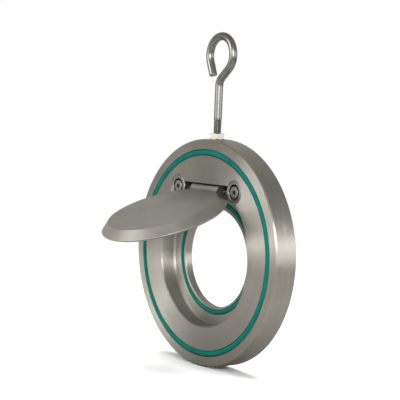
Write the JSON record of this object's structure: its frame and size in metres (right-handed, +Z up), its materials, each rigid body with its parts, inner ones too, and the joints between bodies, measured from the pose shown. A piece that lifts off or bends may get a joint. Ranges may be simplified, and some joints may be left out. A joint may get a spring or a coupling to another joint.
{
  "type": "wafer check valve",
  "caption": "Thin round check valve clamped between pipe flanges, with a hinged disc that swings open with the flow, O-ring seals on both faces and a lifting eye.",
  "frame": {"origin": "centre of the inlet face, on the axis of the body's outside diameter", "axes": "+Y is the inlet face's outward normal, so flow runs towards -Y; +X lies along the hinge pin; +Z is up, towards the lifting eye"},
  "size_m": [0.162, 0.0957, 0.2376],
  "materials": {
    "body_steel": "fine turned",
    "outlet_seal_rubber": "satin moulded",
    "inlet_seal_rubber": "satin moulded",
    "seat_seal_rubber": "satin moulded",
    "disc_steel": "matt ground",
    "bush_steel": "turned",
    "pin_steel": "ground",
    "keeper_steel": "turned",
    "washer_steel": "bright",
    "screw_steel": "bright",
    "eyebolt_steel": "polished bent rod",
    "nut_steel": "bright"
  },
  "bodies": {
    "housing": {"body": "body_steel", "outlet_face_seal": "outlet_seal_rubber", "inlet_face_seal": "inlet_seal_rubber", "seat_seal": "seat_seal_rubber", "hinge_pin": "pin_steel", "keeper_left": "keeper_steel", "keeper_right": "keeper_steel", "lock_washer_left": "washer_steel", "lock_washer_right": "washer_steel", "keeper_screw_left": "screw_steel", "keeper_screw_right": "screw_steel", "lifting_eyebolt": "eyebolt_steel", "eyebolt_nut": "nut_steel"},
    "flap": {"disc": "disc_steel", "hinge_bush_left": "bush_steel", "hinge_bush_right": "bush_steel"}
  },
  "joints": [
    {"name": "disc_swing", "type": "hinge", "parent": "housing", "child": "flap", "pos_m": [0, -0.0098, 0.0442], "axis": [-1, 0, 0], "range_deg": [-70, 5.5]}
  ]
}
